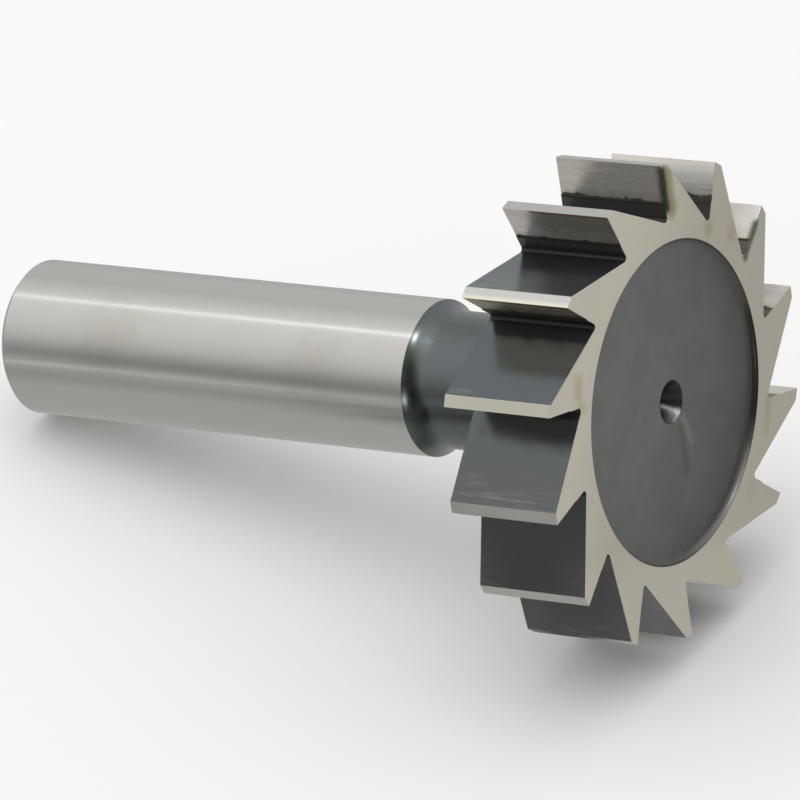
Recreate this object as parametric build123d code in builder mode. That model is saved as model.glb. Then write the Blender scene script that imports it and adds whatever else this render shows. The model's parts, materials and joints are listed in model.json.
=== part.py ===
from build123d import *
from math import acos, atan2, cos, degrees, hypot, radians, sin, tan
import os

# A cutter for woodruff key seats: one piece of high-speed steel, turned, then milled with
# fourteen straight teeth and blackened. Its shank, both sides of its head, the top of each tooth
# and the outer part of each tooth's cutting face are ground bright.
# Sizes are in millimetres and angles in degrees.
#
# The cutter lies on the bench as it comes to rest, on two neighbouring teeth and on the rim of
# its shank's end, so its axis slopes up towards the head. +Z is up, +X points the way the front
# face looks, and the origin is on the bench under the middle of the whole tool.

# Overall sizes: a 1 1/2 in cutter for a 3/8 in key, with the usual allowance for sharpening and
# a length a little over the nominal 2 3/8 in
overall_length = 60.7
cutter_diameter = 38.5
face_width = 9.525

# Shank and neck
shank_diameter = 12.7
neck_diameter = 11.1
shank_start = 21.6              # from the front plane to where the ground shank begins
shoulder_radius = 3.0           # hollow curve from the neck up to the shank
head_fillet = 1.5               # hollow curve from the neck out to the back of the head
end_chamfer = 0.5

# Teeth: straight, with positive rake, so the cutting face leans forward at its tip
teeth = 14
rake_angle = 7.0
rake_depth = 4.85               # from the cutting tip down to the corner of the gullet
ground_depth = 3.1              # the outer part of the cutting face, which the wheel reaches
grinding_step = 0.06            # what the wheel took off, so the root stands proud by this
grinding_run = 0.12             # length over which the wheel's edge fades out
gullet_radius = 0.3
land_width = 1.0
relief_angle = 5.5

# Sides of the head: both are ground slightly hollow, and the front has a shallow recess
side_relief_angle = 0.3
recess_diameter = 25.9
recess_depth = 0.5
recess_draft_angle = 20.0
recess_corner_radius = 0.6
blank_allowance = 1.0           # the turned blank stands this far outside the finished teeth

# Centre holes, one in each end, made with the same centre drill
centre_mouth_diameter = 3.5
centre_angle = 60.0
pilot_diameter = 1.6
pilot_length = 1.6
pilot_tip_angle = 118.0

# Radii that follow
tip_radius = cutter_diameter / 2
shank_radius = shank_diameter / 2
neck_radius = neck_diameter / 2
recess_radius = recess_diameter / 2
blank_radius = tip_radius + blank_allowance

# One tooth in its own flat frame: its cutting tip lies on the x axis, its body below that axis,
# and the gullet in front of it above
tip = Vector(tip_radius, 0)
down_the_face = Vector(-cos(radians(rake_angle)), -sin(radians(rake_angle)))
into_the_gullet = Vector(-sin(radians(rake_angle)), cos(radians(rake_angle)))
along_the_land = Vector(-sin(radians(relief_angle)), -cos(radians(relief_angle)))
heel = tip + along_the_land * land_width
ground_edge = tip + down_the_face * ground_depth
black_edge = ground_edge + down_the_face * grinding_run + into_the_gullet * grinding_step
gullet_corner = tip + down_the_face * rake_depth + into_the_gullet * grinding_step

# How it lies: the bench touches the heel of one tooth and the tip of the next, so the line
# between those two is level, and the axis tilts until the rim of the shank's end touches too
tooth_step = 360 / teeth
heel_radius = hypot(heel.X, heel.Y)
heel_angle = degrees(atan2(-heel.Y, heel.X))
gullet_angle = tooth_step - heel_angle
seat_slope = tip_radius / heel_radius - cos(radians(gullet_angle))
seat_angle = degrees(atan2(seat_slope, sin(radians(gullet_angle))))
seat_radius = tip_radius * cos(radians(seat_angle))
first_tooth_angle = 180 - seat_angle
tilt = atan2(seat_radius - shank_radius, overall_length - end_chamfer - face_width)
front_x = (overall_length * cos(tilt) + (shank_radius - end_chamfer - seat_radius) * sin(tilt)) / 2
front_z = face_width * sin(tilt) + seat_radius * cos(tilt)

# The front plane lies on the rim of the head: its z axis is the cutter's own axis, pointing out
# of the front, and its x axis points up. The shank's end has a plane that looks the other way.
front = Plane(origin=(front_x, 0, front_z), x_dir=(-sin(tilt), 0, cos(tilt)), z_dir=(cos(tilt), 0, sin(tilt)))
shank_end = Plane(origin=front.offset(-overall_length).origin, x_dir=front.x_dir, z_dir=-front.z_dir)


def lengthwise(end):
    """The plane that cuts the tool lengthwise: x is the radius and y the distance out of an end."""
    return Plane(origin=end.origin, x_dir=end.x_dir, z_dir=-end.y_dir)


def side_dip(radius):
    """How deep the hollow-ground side of the head lies at a radius."""
    return (tip_radius - radius) * tan(radians(side_relief_angle))


def tooth_outline():
    """The corners of all the teeth, tooth after tooth, in the front plane."""
    corners = []
    for number in range(teeth):
        turn = first_tooth_angle - number * tooth_step
        for corner in (gullet_corner, black_edge, ground_edge, tip, heel):
            corners.append(corner.rotate(Axis.Z, turn))
    return corners


def centre_hole(mouth_plane):
    """What a centre drill takes out below a plane: a cone, a pilot and the drill's tip."""
    mouth_radius = centre_mouth_diameter / 2
    pilot_radius = pilot_diameter / 2
    cone_end = (mouth_radius - pilot_radius) / tan(radians(centre_angle / 2))
    pilot_end = cone_end + pilot_length
    drill_end = pilot_end + pilot_radius / tan(radians(pilot_tip_angle / 2))
    with BuildPart() as hole:
        with BuildSketch(lengthwise(mouth_plane)):
            with BuildLine():
                Polyline(
                    (0, 0),
                    (mouth_radius, 0),
                    (pilot_radius, -cone_end),
                    (pilot_radius, -pilot_end),
                    (0, -drill_end),
                    close=True,
                )
            make_face()
        revolve(axis=Axis(mouth_plane.origin, mouth_plane.z_dir))
    return hole.part


# Corners of the turned blank's section that are rounded or run into a curve
recess_corner = (recess_radius - recess_depth * tan(radians(recess_draft_angle)), -recess_depth)
head_corner = (neck_radius, -face_width + side_dip(neck_radius))
shoulder_angle = degrees(acos(1 - (shank_radius - neck_radius) / shoulder_radius))
shoulder_length = shoulder_radius * sin(radians(shoulder_angle))

with BuildPart() as keyseat_cutter:
    # The turned blank, from the floor of the front recess round to the end of the shank
    with BuildSketch(lengthwise(front)) as blank_section:
        with BuildLine():
            head_and_neck = Polyline(
                (0, -recess_depth),
                recess_corner,
                (recess_radius, -side_dip(recess_radius)),
                (blank_radius, -side_dip(blank_radius)),
                (blank_radius, -face_width + side_dip(blank_radius)),
                head_corner,
                (neck_radius, -shank_start + shoulder_length),
            )
            shoulder = JernArc(head_and_neck @ 1, (0, -1), shoulder_radius, shoulder_angle)
            Polyline(
                shoulder @ 1,
                (shank_radius, -overall_length + end_chamfer),
                (shank_radius - end_chamfer, -overall_length),
                (0, -overall_length),
                (0, -recess_depth),
            )
        make_face()
        fillet(blank_section.vertices().sort_by_distance(recess_corner)[0], recess_corner_radius)
        fillet(blank_section.vertices().sort_by_distance(head_corner)[0], head_fillet)
    revolve(axis=Axis(front.origin, front.z_dir))

    # The teeth: whatever lies outside their outline is milled away. The neck and the shank are
    # slimmer than the circle that the gullets reach down to, so they stay whole.
    with BuildSketch(front.offset(blank_allowance)) as teeth_section:
        with BuildLine():
            Polyline(tooth_outline(), close=True)
        make_face()
        outline_corners = teeth_section.vertices().sort_by(lambda corner: hypot(corner.X, corner.Y))
        fillet(outline_corners[:teeth], gullet_radius)
    extrude(amount=-(overall_length + 2 * blank_allowance), mode=Mode.INTERSECT)

    # The centre holes: one from the floor of the recess, one from the end of the shank
    add(centre_hole(front.offset(-recess_depth)), mode=Mode.SUBTRACT)
    add(centre_hole(shank_end), mode=Mode.SUBTRACT)

keyseat_cutter.part.label = "keyseat_cutter"

os.makedirs("parts", exist_ok=True)
export_step(keyseat_cutter.part, "parts/keyseat_cutter.step")

print("lying box", keyseat_cutter.part.bounding_box().size, "tilt", round(degrees(tilt), 3))
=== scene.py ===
# %% [markdown]
# # A cutter for woodruff key seats
#
# The real tool is one piece of high-speed steel. It was turned, milled with fourteen straight
# teeth and blackened, and then a grinding wheel made some of it bright again: the shank, both
# sides of the head, the top of each tooth and the outer part of each cutting face.
#
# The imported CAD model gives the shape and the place. Blender adds what a drawing leaves out:
# corners with a little roundness, the grain that each wheel and cutter leaves, the depth of the
# black oxide, and light that shows them. Everything is in metres in the CAD model's own frame.

import json
from math import acos, atan2, cos, degrees, hypot, pi, radians, sin, sqrt, tan

import bmesh
import bpy
from mathutils import Matrix, Vector


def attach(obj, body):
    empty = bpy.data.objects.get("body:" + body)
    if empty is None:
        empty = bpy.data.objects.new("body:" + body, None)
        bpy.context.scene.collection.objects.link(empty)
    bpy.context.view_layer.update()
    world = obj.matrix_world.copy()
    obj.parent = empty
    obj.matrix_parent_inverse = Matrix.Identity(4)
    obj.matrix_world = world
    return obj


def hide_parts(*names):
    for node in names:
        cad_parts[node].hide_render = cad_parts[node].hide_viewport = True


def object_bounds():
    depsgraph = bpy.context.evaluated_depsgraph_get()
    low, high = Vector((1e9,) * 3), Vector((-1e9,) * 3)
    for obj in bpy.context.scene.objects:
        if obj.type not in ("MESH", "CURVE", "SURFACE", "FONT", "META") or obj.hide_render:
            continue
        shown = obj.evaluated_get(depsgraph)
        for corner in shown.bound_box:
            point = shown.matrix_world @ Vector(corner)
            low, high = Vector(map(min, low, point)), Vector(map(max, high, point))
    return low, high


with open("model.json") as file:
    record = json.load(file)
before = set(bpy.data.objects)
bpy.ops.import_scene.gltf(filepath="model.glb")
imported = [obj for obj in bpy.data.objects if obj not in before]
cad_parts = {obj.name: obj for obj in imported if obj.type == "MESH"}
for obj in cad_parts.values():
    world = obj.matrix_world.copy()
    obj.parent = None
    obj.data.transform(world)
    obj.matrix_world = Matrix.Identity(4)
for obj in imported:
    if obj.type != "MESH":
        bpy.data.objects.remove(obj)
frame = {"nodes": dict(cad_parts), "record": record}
cad_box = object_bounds()
cad_sides = [round(1000 * side, 2) for side in cad_box[1] - cad_box[0]]
print("CAD nodes:", sorted(frame["nodes"]), "box in mm:", cad_sides)

# %% [markdown]
# ## Sizes
#
# A mesh of our own is worth making here, because the CAD solid has razor-sharp corners and one
# finish all over. It has to be the same part, so it starts from the same sizes. A drawing of a
# cutter is in millimetres, so the sizes stay in millimetres until the mesh is placed.

# %% Sizes of the tool, in millimetres and degrees
overall_length = 60.7
cutter_diameter = 38.5
face_width = 9.525

shank_diameter = 12.7
neck_diameter = 11.1
shank_start = 21.6
shoulder_radius = 3.0
head_fillet = 1.5
end_chamfer = 0.5

teeth = 14
rake_angle = 7.0
rake_depth = 4.85
ground_depth = 3.1
grinding_step = 0.06
grinding_run = 0.12
gullet_radius = 0.3
land_width = 1.0
relief_angle = 5.5

side_relief_angle = 0.3
recess_diameter = 25.9
recess_depth = 0.5
recess_draft_angle = 20.0
recess_corner_radius = 0.6

centre_mouth_diameter = 3.5
centre_angle = 60.0
pilot_diameter = 1.6
pilot_length = 1.6
pilot_tip_angle = 118.0

tip_radius = cutter_diameter / 2
shank_radius = shank_diameter / 2
neck_radius = neck_diameter / 2
recess_radius = recess_diameter / 2
tooth_step = 2 * pi / teeth
print("a", cutter_diameter, "mm head on a", shank_diameter, "mm shank,", teeth, "teeth")

# %% [markdown]
# ## Where the tool lies
#
# The cutter lies on two of its teeth and on the end of its shank, so its axis slopes. It is much
# easier to think in the tool's own frame: the origin in the middle of the front plane, z out of
# the front, x up and y towards the camera's side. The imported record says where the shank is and
# which way it runs, and that fixes the frame without any fitting.

# %% The tool's own frame
shank_mount = next(mount for mount in frame["record"]["mounts"] if mount["name"] == "shank")
towards_end = Vector(shank_mount["axis"]).normalized()
to_front = shank_start + shank_mount["dims"]["length_mm"] / 2
front_centre = Vector(shank_mount["pos_m"]) - towards_end * to_front / 1000

tool_z = -towards_end
tool_y = Vector((0, -1, 0))
tool_x = tool_y.cross(tool_z)
tool_turn = Matrix((tool_x, tool_y, tool_z)).transposed()
tool_frame = Matrix.Translation(front_centre) @ tool_turn.to_4x4() @ Matrix.Scale(0.001, 4)
slope = round(degrees(atan2(tool_z.z, tool_z.x)), 3)
print("front centre in mm:", [round(1000 * c, 3) for c in front_centre], "slope", slope)

# %% [markdown]
# ## Rounded corners in a flat outline
#
# A fillet is an arc that touches two lines. Its centre lies on the line that halves the corner,
# and the arc is as far from the corner as the angle between the lines asks. One small function
# draws every fillet of this tool, in the gullets as well as in the turned profile.


# %% A fillet between three points
def rounded(before, corner, after, radius, segments):
    """The points of an arc that rounds a corner, from the side of the first line to the second."""
    to_before = (before - corner).normalized()
    to_after = (after - corner).normalized()
    half_angle = to_before.angle(to_after) / 2
    middle = (to_before + to_after).normalized()
    centre = corner + middle * radius / sin(half_angle)
    start = corner + to_before * radius / tan(half_angle) - centre
    turn = start.angle_signed(corner + to_after * radius / tan(half_angle) - centre)
    arc = []
    for number in range(segments + 1):
        step_turn = Matrix.Rotation(-turn * number / segments, 2)
        arc.append(centre + step_turn @ start)
    return arc


quarter_circle = rounded(Vector((1, 0)), Vector((0, 0)), Vector((0, 1)), 1, 2)
print("a quarter circle:", [tuple(round(c, 2) for c in point) for point in quarter_circle])

# %% [markdown]
# ## One tooth, flat
#
# The outline of a tooth is drawn once, with its cutting tip on the x axis. Going clockwise, as a
# reader looking at the front sees it, the gullet comes first, then the cutting face up to the
# tip, the narrow land, and the back down to the next gullet. Each stretch has its own finish,
# because the wheel reached only some of them, so the outline keeps the name of the finish that
# follows each point. How far a point lies round the outline from the cutting tip is measured
# too, because that is how a material will know how deep in the gullet it is.

# %% The outline of a tooth
tip = Vector((tip_radius, 0))
down_the_face = Vector((-cos(radians(rake_angle)), -sin(radians(rake_angle))))
into_the_gullet = Vector((-sin(radians(rake_angle)), cos(radians(rake_angle))))
along_the_land = Vector((-sin(radians(relief_angle)), -cos(radians(relief_angle))))
heel = tip + along_the_land * land_width
ground_edge = tip + down_the_face * ground_depth
black_edge = ground_edge + down_the_face * grinding_run + into_the_gullet * grinding_step
gullet_corner = tip + down_the_face * rake_depth + into_the_gullet * grinding_step

to_next_tooth = Matrix.Rotation(-tooth_step, 2)
to_previous_tooth = Matrix.Rotation(tooth_step, 2)
gullet_segments = 8


def tooth_outline():
    """Points and finishes of one tooth, from the bottom of its gullet to the bottom of the next."""
    heel_before = to_previous_tooth @ heel
    gullet = rounded(heel_before, gullet_corner, black_edge, gullet_radius, gullet_segments)
    rising = gullet[gullet_segments // 2 :]
    falling = [to_next_tooth @ point for point in gullet[: gullet_segments // 2]]
    outline = [(point, "black_oxide") for point in rising[:-1]]
    outline += [(point, "cutting_face") for point in (rising[-1], black_edge, ground_edge)]
    outline += [(tip, "ground_land"), (heel, "black_oxide")]
    outline += [(point, "black_oxide") for point in falling]
    return outline


def distances_from_tip(points):
    """How far round the outline each point lies from the cutting tip; less than 0 before it."""
    gone = [0.0]
    for number in range(1, len(points)):
        gone.append(gone[-1] + (points[number] - points[number - 1]).length)
    at_tip = gone[points.index(tip)]
    return [distance - at_tip for distance in gone]


outline_distances = distances_from_tip([point for point, finish in tooth_outline()])
gullet_below_face = outline_distances[gullet_segments // 2]
gullet_below_back = outline_distances[-gullet_segments // 2]
gullet_bottom = tooth_outline()[0][0]
gullet_bottom_angle = atan2(gullet_bottom.y, gullet_bottom.x)
bottom_turn = round(degrees(gullet_bottom_angle), 2)
curve_starts = (round(gullet_below_face, 2), round(gullet_below_back, 2))
print("gullet bottom at radius", round(gullet_bottom.length, 3), "mm, turned", bottom_turn)
print("its curve starts so far from the tip, on the face and on the back:", curve_starts)

# %% [markdown]
# ## Which way up the teeth are
#
# Two neighbouring teeth touch the bench: the heel of one and the tip of the next. The line
# between those two points has to be level, and this gives the turn of the first tooth.

# %% The turn of the first tooth
heel_radius = hypot(heel.x, heel.y)
gullet_width_angle = tooth_step - atan2(-heel.y, heel.x)
seat_slope = tip_radius / heel_radius - cos(gullet_width_angle)
seat_angle = atan2(seat_slope, sin(gullet_width_angle))
first_tooth_turn = pi - seat_angle
print("first tooth turned", round(degrees(first_tooth_turn), 2), "degrees from straight up")

# %% [markdown]
# ## The turned parts, as profiles
#
# Everything that a lathe made is a profile turned round the axis. A profile is a row of
# (radius, z) points, and each point has the finish of the strip that follows it, as the tooth
# outline has. There are two profiles: the front one runs from the bottom of the front centre
# hole to the rim of the recess, and the rear one from the back of the head to the bottom of the
# centre hole in the shank's end.


# %% Profiles of the two centre holes
def centre_hole(mouth_z, inwards):
    """From the bottom of the hole to its mouth; inwards is -1 where the hole runs towards -z."""
    mouth_radius = centre_mouth_diameter / 2
    pilot_radius = pilot_diameter / 2
    cone_end = (mouth_radius - pilot_radius) / tan(radians(centre_angle / 2))
    pilot_end = cone_end + pilot_length
    drill_end = pilot_end + pilot_radius / tan(radians(pilot_tip_angle / 2))
    return [
        (Vector((0, mouth_z + inwards * drill_end)), "pilot_hole"),
        (Vector((pilot_radius, mouth_z + inwards * pilot_end)), "pilot_hole"),
        (Vector((pilot_radius, mouth_z + inwards * cone_end)), "centre_cone"),
        (Vector((mouth_radius, mouth_z)), "recess_finish"),
    ]


def side_dip(radius):
    """How deep the hollow-ground side of the head lies at a radius."""
    return (tip_radius - radius) * tan(radians(side_relief_angle))


print("centre hole depth", round(-centre_hole(0, -1)[0][0].y, 2), "mm")

# %% [markdown]
# The recess has a sloping wall and a rounded corner. The neck runs out into the head in a hollow
# fillet, and up to the shank in a hollow shoulder, which ends in an edge where the grinding wheel
# cut it off.

# %% The front and rear profiles
recess_corner = Vector((recess_radius - recess_depth * tan(radians(recess_draft_angle)), -recess_depth))
recess_rim = Vector((recess_radius, -side_dip(recess_radius)))
fillet_segments = 10


def front_profile():
    profile = centre_hole(-recess_depth, -1)
    middle = Vector((0, -recess_depth))
    corner = rounded(middle, recess_corner, recess_rim, recess_corner_radius, fillet_segments)
    return profile + [(point, "recess_finish") for point in corner] + [(recess_rim, None)]


def rear_profile():
    head_corner = Vector((neck_radius, -face_width + side_dip(neck_radius)))
    head_side = Vector((tip_radius, -face_width))
    shoulder_angle = acos(1 - (shank_radius - neck_radius) / shoulder_radius)
    shoulder_length = shoulder_radius * sin(shoulder_angle)
    profile = []
    neck_line = Vector((neck_radius, -shank_start))
    for point in rounded(head_side, head_corner, neck_line, head_fillet, fillet_segments):
        profile.append((point, "neck_oxide"))
    for number in range(fillet_segments):
        turn = shoulder_angle * number / fillet_segments
        radius = neck_radius + shoulder_radius * (1 - cos(turn))
        z = -shank_start + shoulder_length - shoulder_radius * sin(turn)
        profile.append((Vector((radius, z)), "neck_oxide"))
    profile.append((Vector((shank_radius, -shank_start)), "ground_shank"))
    profile.append((Vector((shank_radius, -overall_length + end_chamfer)), "turned_end"))
    profile.append((Vector((shank_radius - end_chamfer, -overall_length)), "turned_end"))
    hole = centre_hole(-overall_length, 1)
    for number in range(len(hole) - 1, 0, -1):
        profile.append((hole[number][0], hole[number - 1][1]))
    profile.append((hole[0][0], None))
    return profile


print("front profile:", len(front_profile()), "points, rear profile:", len(rear_profile()), "points")

# %% [markdown]
# ## Making the mesh
#
# bmesh is the tool for a mesh whose every face has a reason. The turned parts become rings of
# points joined by strips. The number of points on a ring is a multiple of the number of teeth,
# so that a ring point lies in line with every gullet, and the toothed head can be joined to the
# turned parts without a seam. A UV map runs round the tool with u, one turn to a unit, and along
# the profile with v, in tenths of a metre. It later tells the shader which way the wheel ran.

# %% Rings and strips
points_per_tooth = 16
ring_points = teeth * points_per_tooth
map_scale = 100
finishes = [
    "ground_shank",
    "ground_side",
    "ground_land",
    "cutting_face",
    "black_oxide",
    "neck_oxide",
    "recess_finish",
    "centre_cone",
    "pilot_hole",
    "turned_end",
]
whole_tool = bmesh.new()
grain_map = whole_tool.loops.layers.uv.new("grain")


def ring_angle(number):
    return first_tooth_turn + gullet_bottom_angle - 2 * pi * number / ring_points


def ring(radius, z):
    """A closed row of points round the axis, or a single point where the radius is nothing."""
    if radius < 1e-6:
        return [whole_tool.verts.new((0, 0, z))]
    angles = [ring_angle(number) for number in range(ring_points)]
    return [whole_tool.verts.new((radius * cos(angle), radius * sin(angle), z)) for angle in angles]


def strip(first_ring, second_ring, finish, first_along, second_along):
    """Faces between two rings. The map runs round with u and along the profile with v."""
    for number in range(ring_points):
        following = (number + 1) % ring_points
        corners = []
        for row, along in ((first_ring, first_along), (second_ring, second_along)):
            pair = [(row[0], number, along)]
            if len(row) > 1:
                pair = [(row[number], number, along), (row[following], number + 1, along)]
            corners.append(pair)
        loop_order = corners[0] + corners[1][::-1]
        face = whole_tool.faces.new([corner[0] for corner in loop_order])
        face.material_index = finishes.index(finish)
        for loop, corner in zip(face.loops, loop_order):
            loop[grain_map].uv = (corner[1] / ring_points, corner[2] / map_scale)


def turn_profile(profile):
    """Turns a profile round the axis and returns its first and last rings."""
    rings = [ring(point.x, point.y) for point, finish in profile]
    along = 0
    for number in range(len(profile) - 1):
        further = along + (profile[number + 1][0] - profile[number][0]).length
        strip(rings[number], rings[number + 1], profile[number][1], along, further)
        along = further
    return rings[0], rings[-1]


recess_rim_ring = turn_profile(front_profile())[1]
head_back_ring = turn_profile(rear_profile())[0]
print("turned parts:", len(whole_tool.faces), "faces")

# %% [markdown]
# ## The toothed head
#
# The outline of all the teeth is set out twice, on the front and on the rear, a little lower
# towards the middle because the sides are ground hollow. Quads between the two make the teeth,
# and there u is the distance round the outline from the cutting tip, in tenths of a metre too. On
# each side, one face per tooth reaches from the tooth's outline in to the turned parts.


# %% Teeth
def outline_points(sign):
    """The whole toothed outline on the front (sign 1) or on the rear (sign -1)."""
    rows = []
    for number in range(teeth):
        turn = Matrix.Rotation(first_tooth_turn - number * tooth_step, 2)
        row = []
        for point, finish in tooth_outline():
            turned = turn @ point
            dip = side_dip(point.length)
            z = -dip if sign > 0 else -face_width + dip
            row.append((whole_tool.verts.new((turned.x, turned.y, z)), finish))
        rows.append(row)
    return rows


def tooth_sides(outline, inner_ring):
    """One face for each tooth between its outline and the ring inside it."""
    for number in range(teeth):
        first = number * points_per_tooth
        inner = [inner_ring[(first + step) % ring_points] for step in range(points_per_tooth + 1)]
        outer = [corner[0] for corner in outline[number]] + [outline[(number + 1) % teeth][0][0]]
        face = whole_tool.faces.new(outer + inner[::-1])
        face.material_index = finishes.index("ground_side")


def tooth_walls(front_outline, rear_outline):
    """The surfaces of the teeth, from the front outline back to the rear one."""
    front_row = [corner for row in front_outline for corner in row]
    rear_row = [corner for row in rear_outline for corner in row]
    corners_per_tooth = len(outline_distances)
    distances = outline_distances + [2 * outline_distances[-1] - outline_distances[-2]]
    for number in range(len(front_row)):
        following = (number + 1) % len(front_row)
        front_corner, finish = front_row[number]
        front_pair = (front_corner, front_row[following][0])
        rear_pair = (rear_row[following][0], rear_row[number][0])
        face = whole_tool.faces.new(front_pair + rear_pair)
        face.material_index = finishes.index(finish)
        place = number % corners_per_tooth
        here, there = distances[place], distances[place + 1]
        places = ((here, 0), (there, 0), (there, face_width), (here, face_width))
        for loop, (distance, behind) in zip(face.loops, places):
            loop[grain_map].uv = (distance / map_scale, behind / map_scale)


front_outline = outline_points(1)
rear_outline = outline_points(-1)
tooth_sides(front_outline, recess_rim_ring)
tooth_sides(rear_outline, head_back_ring)
tooth_walls(front_outline, rear_outline)
bmesh.ops.recalc_face_normals(whole_tool, faces=whole_tool.faces)
open_edges = [edge for edge in whole_tool.edges if not edge.is_manifold]
volume = round(whole_tool.calc_volume(), 1)
print("whole tool:", len(whole_tool.faces), "faces,", len(open_edges), "open edges, volume", volume, "mm3")

# %% [markdown]
# ## Corners that catch the light
#
# No real corner is perfectly sharp, and the fine line along an edge is what makes metal look
# like metal. A Bevel modifier rounds every corner that is sharper than a limit. Its width
# follows a weight on each edge: the cutting edges stay keen, the rest is broken by a few
# hundredths of a millimetre. Hardened normals keep the flat faces flat.

# %% Edge weights, shading, and placing the mesh in the CAD model's frame
smooth_limit = radians(20)
corner_limit = radians(30)
bevel_width = 0.045
cutting_edge_weight = 0.4
bevel_weight = whole_tool.edges.layers.float.new("bevel_weight_edge")
bright = {finishes.index(name) for name in ("ground_side", "ground_land", "cutting_face")}

for edge in whole_tool.edges:
    edge.smooth = edge.calc_face_angle(0) < smooth_limit
    if edge.calc_face_angle(0) > corner_limit:
        keen = {face.material_index for face in edge.link_faces} <= bright
        edge[bevel_weight] = cutting_edge_weight if keen else 1.0
for face in whole_tool.faces:
    face.smooth = True
bmesh.ops.transform(whole_tool, matrix=tool_frame, verts=whole_tool.verts)
bmesh.ops.recalc_face_normals(whole_tool, faces=whole_tool.faces)

cutter_mesh = bpy.data.meshes.new("keyseat_cutter_ground")
whole_tool.to_mesh(cutter_mesh)
whole_tool.free()
cutter = bpy.data.objects.new("keyseat_cutter_ground", cutter_mesh)
bpy.context.scene.collection.objects.link(cutter)

rounding = cutter.modifiers.new("broken_corners", "BEVEL")
rounding.limit_method = "WEIGHT"
rounding.width = bevel_width / 1000
rounding.segments = 2
rounding.harden_normals = True
print("mesh:", len(cutter_mesh.vertices), "points")

# %% [markdown]
# ## Materials: formulas made of nodes
#
# A node's input takes either a fixed value or a link from another node. With one helper for both,
# a chain of Math nodes reads like a formula. The range helper is the workhorse of masks: it turns
# any value into a soft step from one number to another.


# %% Links, numbers and soft steps
def link(tree, source, target):
    tree.links.new(source, target)


def set_value(socket, value, tree):
    """Puts a number on a socket, or a link where the value is another node's output."""
    if isinstance(value, bpy.types.NodeSocket):
        link(tree, value, socket)
    elif value is not None:
        socket.default_value = value


def math_node(tree, operation, first, second=None, third=None):
    node = tree.nodes.new("ShaderNodeMath")
    node.operation = operation
    for socket, value in zip(node.inputs, (first, second, third)):
        set_value(socket, value, tree)
    return node.outputs[0]


def smooth_range(tree, value, low, high, start=0.0, end=1.0):
    """Maps a value between two limits softly, and holds it outside them."""
    node = tree.nodes.new("ShaderNodeMapRange")
    node.interpolation_type = "SMOOTHSTEP"
    for name, number in (("From Min", low), ("From Max", high), ("To Min", start), ("To Max", end)):
        set_value(node.inputs[name], number, tree)
    set_value(node.inputs["Value"], value, tree)
    return node.outputs["Result"]


print("helpers for links, numbers and soft steps are ready")

# %% [markdown]
# ## Materials: where on the tool a point is
#
# Every effect below depends on where a point is on the tool: how far along the axis, how far
# from it. The Mapping node, set to Texture, undoes the tool's place and slope and gives a
# position in millimetres in the tool's own frame.


# %% Vectors and places
def vector_node(tree, operation, first, second, output="Vector"):
    node = tree.nodes.new("ShaderNodeVectorMath")
    node.operation = operation
    set_value(node.inputs[0], first, tree)
    set_value(node.inputs[1], second, tree)
    return node.outputs[output]


def split(tree, vector):
    node = tree.nodes.new("ShaderNodeSeparateXYZ")
    set_value(node.inputs[0], vector, tree)
    return node.outputs["X"], node.outputs["Y"], node.outputs["Z"]


def join(tree, x, y, z):
    node = tree.nodes.new("ShaderNodeCombineXYZ")
    for socket, value in zip(node.inputs, (x, y, z)):
        set_value(socket, value, tree)
    return node.outputs[0]


def scaled(tree, vector, factor):
    """A vector multiplied by a value, or a colour made lighter or darker by it."""
    return vector_node(tree, "MULTIPLY", vector, join(tree, factor, factor, factor))


def tool_position(tree):
    """The place of a point in the tool's own frame, in millimetres."""
    coordinates = tree.nodes.new("ShaderNodeTexCoord")
    mapping = tree.nodes.new("ShaderNodeMapping")
    mapping.vector_type = "TEXTURE"
    mapping.inputs["Location"].default_value = front_centre
    mapping.inputs["Rotation"].default_value = tool_turn.to_euler()
    mapping.inputs["Scale"].default_value = (0.001, 0.001, 0.001)
    link(tree, coordinates.outputs["Object"], mapping.inputs["Vector"])
    return mapping.outputs["Vector"]


def from_axis(tree, position):
    """Distance from the tool's axis."""
    squares = [math_node(tree, "MULTIPLY", side, side) for side in split(tree, position)[:2]]
    return math_node(tree, "SQRT", math_node(tree, "ADD", *squares))


print("the tool's frame is turned by", [round(degrees(angle), 1) for angle in tool_turn.to_euler()])

# %% [markdown]
# ## Materials: colours, noise and node groups
#
# An effect that several finishes share is a node group: a small graph with named inputs, built
# once and placed in each material with its own values. Noise is what keeps them all uneven.


# %% Colours, noise and groups
def mix_colour(tree, factor, first, second):
    """Mixes two colours; each is another node's output, or its red, green and blue."""
    node = tree.nodes.new("ShaderNodeMix")
    node.data_type = "RGBA"
    set_value(node.inputs["Factor"], factor, tree)
    for name, colour in (("A", first), ("B", second)):
        opaque = (*colour, 1) if isinstance(colour, tuple) else colour
        set_value(node.inputs[name], opaque, tree)
    return node.outputs["Result"]


def noise(tree, position, scale, detail=2.0, roughness=0.5):
    node = tree.nodes.new("ShaderNodeTexNoise")
    set_value(node.inputs["Vector"], position, tree)
    for name, value in (("Scale", scale), ("Detail", detail), ("Roughness", roughness)):
        node.inputs[name].default_value = value
    return node.outputs["Fac"]


def new_group(name, inputs, outputs):
    """An empty node group with named sockets; returns its tree, what it is given and what it gives."""
    tree = bpy.data.node_groups.new(name, "ShaderNodeTree")
    for socket_name, kind, value in inputs:
        socket = tree.interface.new_socket(socket_name, in_out="INPUT", socket_type=kind)
        if value is not None:
            socket.default_value = value
    for socket_name, kind in outputs:
        tree.interface.new_socket(socket_name, in_out="OUTPUT", socket_type=kind)
    entry = tree.nodes.new("NodeGroupInput")
    leaving = tree.nodes.new("NodeGroupOutput")
    return tree, entry.outputs, leaving.inputs


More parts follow.
